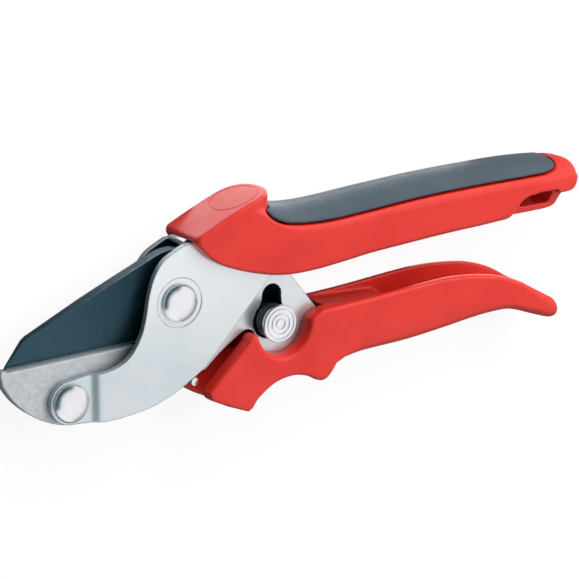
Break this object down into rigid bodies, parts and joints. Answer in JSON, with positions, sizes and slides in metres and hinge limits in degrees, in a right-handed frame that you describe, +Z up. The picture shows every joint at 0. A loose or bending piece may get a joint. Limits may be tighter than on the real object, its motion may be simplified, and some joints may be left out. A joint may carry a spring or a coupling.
{
  "type": "anvil pruning shears",
  "caption": "Hand pruning shears with a straight blade closing on a flat anvil, moulded handles, a soft upper grip, an opening spring and a sliding thumb lock; shown shut and locked.",
  "frame": {"origin": "centre of the footprint of the shut tool, on the plane it lies on", "axes": "+X along the tool toward the handle ends, +Y toward the upper handle, +Z up out of the side that carries the lock button"},
  "size_m": [0.2108, 0.0678, 0.0202],
  "materials": {
    "red_plastic": "satin moulded red plastic",
    "grey_rubber": "soft matt grey grip",
    "zinc_plate": "bright zinc-plated pressed steel",
    "polished_steel": "polished bright steel",
    "coated_steel": "dark slip coating on hardened steel",
    "cast_anvil": "fine-blasted die-cast alloy",
    "spring_steel": "oiled spring wire"
  },
  "bodies": {
    "frame": {"frame_plate_front": "zinc_plate", "frame_plate_back": "zinc_plate", "frame_bridge": "zinc_plate", "anvil": "cast_anvil", "anvil_rivet": "polished_steel", "pivot_rivet": "polished_steel", "pivot_bush": "polished_steel", "upper_handle": "red_plastic", "soft_grip": "grey_rubber", "upper_handle_pin_front": "polished_steel", "upper_handle_pin_rear": "polished_steel", "spring_post": "polished_steel", "return_spring": "spring_steel", "lock_strike": "coated_steel"},
    "lever": {"blade": "coated_steel", "lever_plate_front": "zinc_plate", "lever_plate_back": "zinc_plate", "blade_rivet_upper": "polished_steel", "blade_rivet_lower": "polished_steel", "lower_handle": "red_plastic", "lower_handle_pin_front": "polished_steel", "lower_handle_pin_rear": "polished_steel", "cross_pin": "polished_steel"},
    "lock": {"lock_button": "polished_steel", "lock_catch": "coated_steel"}
  },
  "joints": [
    {"name": "cutting_pivot", "type": "hinge", "parent": "frame", "child": "lever", "pos_m": [-0.04705, 0.00344, 0.0099], "axis": [0, 0, -1], "range_deg": [0, 20]},
    {"name": "lock_slide", "type": "slide", "parent": "lever", "child": "lock", "axis": [0.0905, 0.9959, 0], "range_m": [0, 0.00773]}
  ]
}
